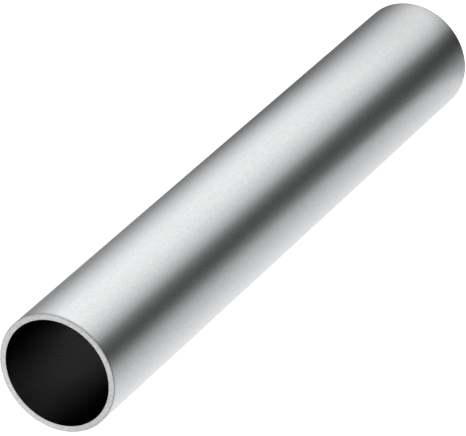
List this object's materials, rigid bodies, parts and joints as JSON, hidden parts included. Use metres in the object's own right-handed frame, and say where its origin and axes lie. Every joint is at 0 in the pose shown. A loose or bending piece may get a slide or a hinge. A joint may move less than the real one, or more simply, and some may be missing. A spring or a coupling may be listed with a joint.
{
  "type": "round tube",
  "caption": "Straight round metal tube with a plain through bore and square-cut, deburred ends, used as stock for frames, rails, spacers and sleeves.",
  "frame": {"origin": "centre of the lower cut end, which the tube stands on", "axes": "+Z along the tube's axis, from the lower end to the upper end; X and Y are any two directions across the tube"},
  "size_m": [0.04, 0.04, 0.25],
  "materials": {
    "tube": "satin mill finish, as extruded, with fine lengthwise die lines"
  },
  "bodies": {
    "root": {"tube": "tube"}
  },
  "joints": []
}
